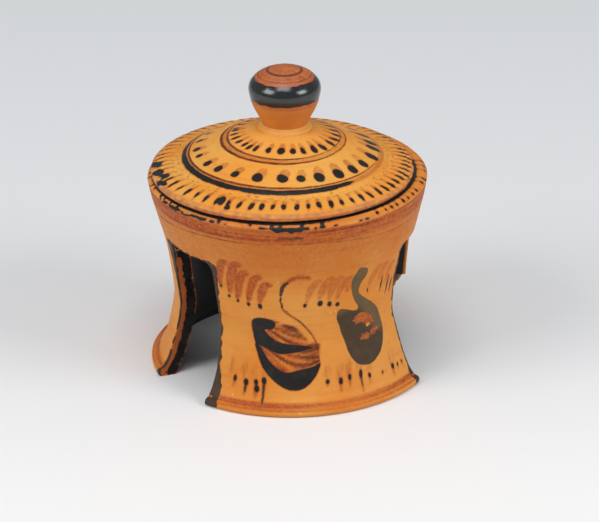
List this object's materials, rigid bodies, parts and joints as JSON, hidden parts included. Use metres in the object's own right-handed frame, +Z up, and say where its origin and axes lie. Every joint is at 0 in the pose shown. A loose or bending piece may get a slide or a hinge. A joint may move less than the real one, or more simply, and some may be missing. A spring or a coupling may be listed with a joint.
{
  "type": "tripod pyxis",
  "caption": "Low round fired-clay box on broad legs cut from its wall, with a domed lift-off lid, a locating flange under it and a solid knob.",
  "frame": {"origin": "on the ground, under the axis of the box", "axes": "+Z up along the axis of the box and the knob; -Y points out of the middle of the front, where the widest leg stands; +X to the right of it"},
  "size_m": [0.0898, 0.0911, 0.0994],
  "materials": {
    "decorated_clay": "matt orange clay with dark slip",
    "dark_glaze": "worn black gloss slip",
    "bare_clay": "bare fired clay",
    "lid_clay": "matt orange clay with dark slip",
    "knob_clay": "orange clay with a black gloss band"
  },
  "bodies": {
    "pot": {"wall_and_legs": "decorated_clay", "bowl_floor": "dark_glaze", "floor_luting": "bare_clay"},
    "lid": {"lid_plate": "lid_clay", "lid_flange": "bare_clay", "lid_knob": "knob_clay", "knob_collar": "lid_clay"}
  },
  "joints": [
    {"name": "lid_lift", "type": "slide", "parent": "pot", "child": "lid", "axis": [0, 0, 1], "range_m": [0, 0.06]}
  ]
}
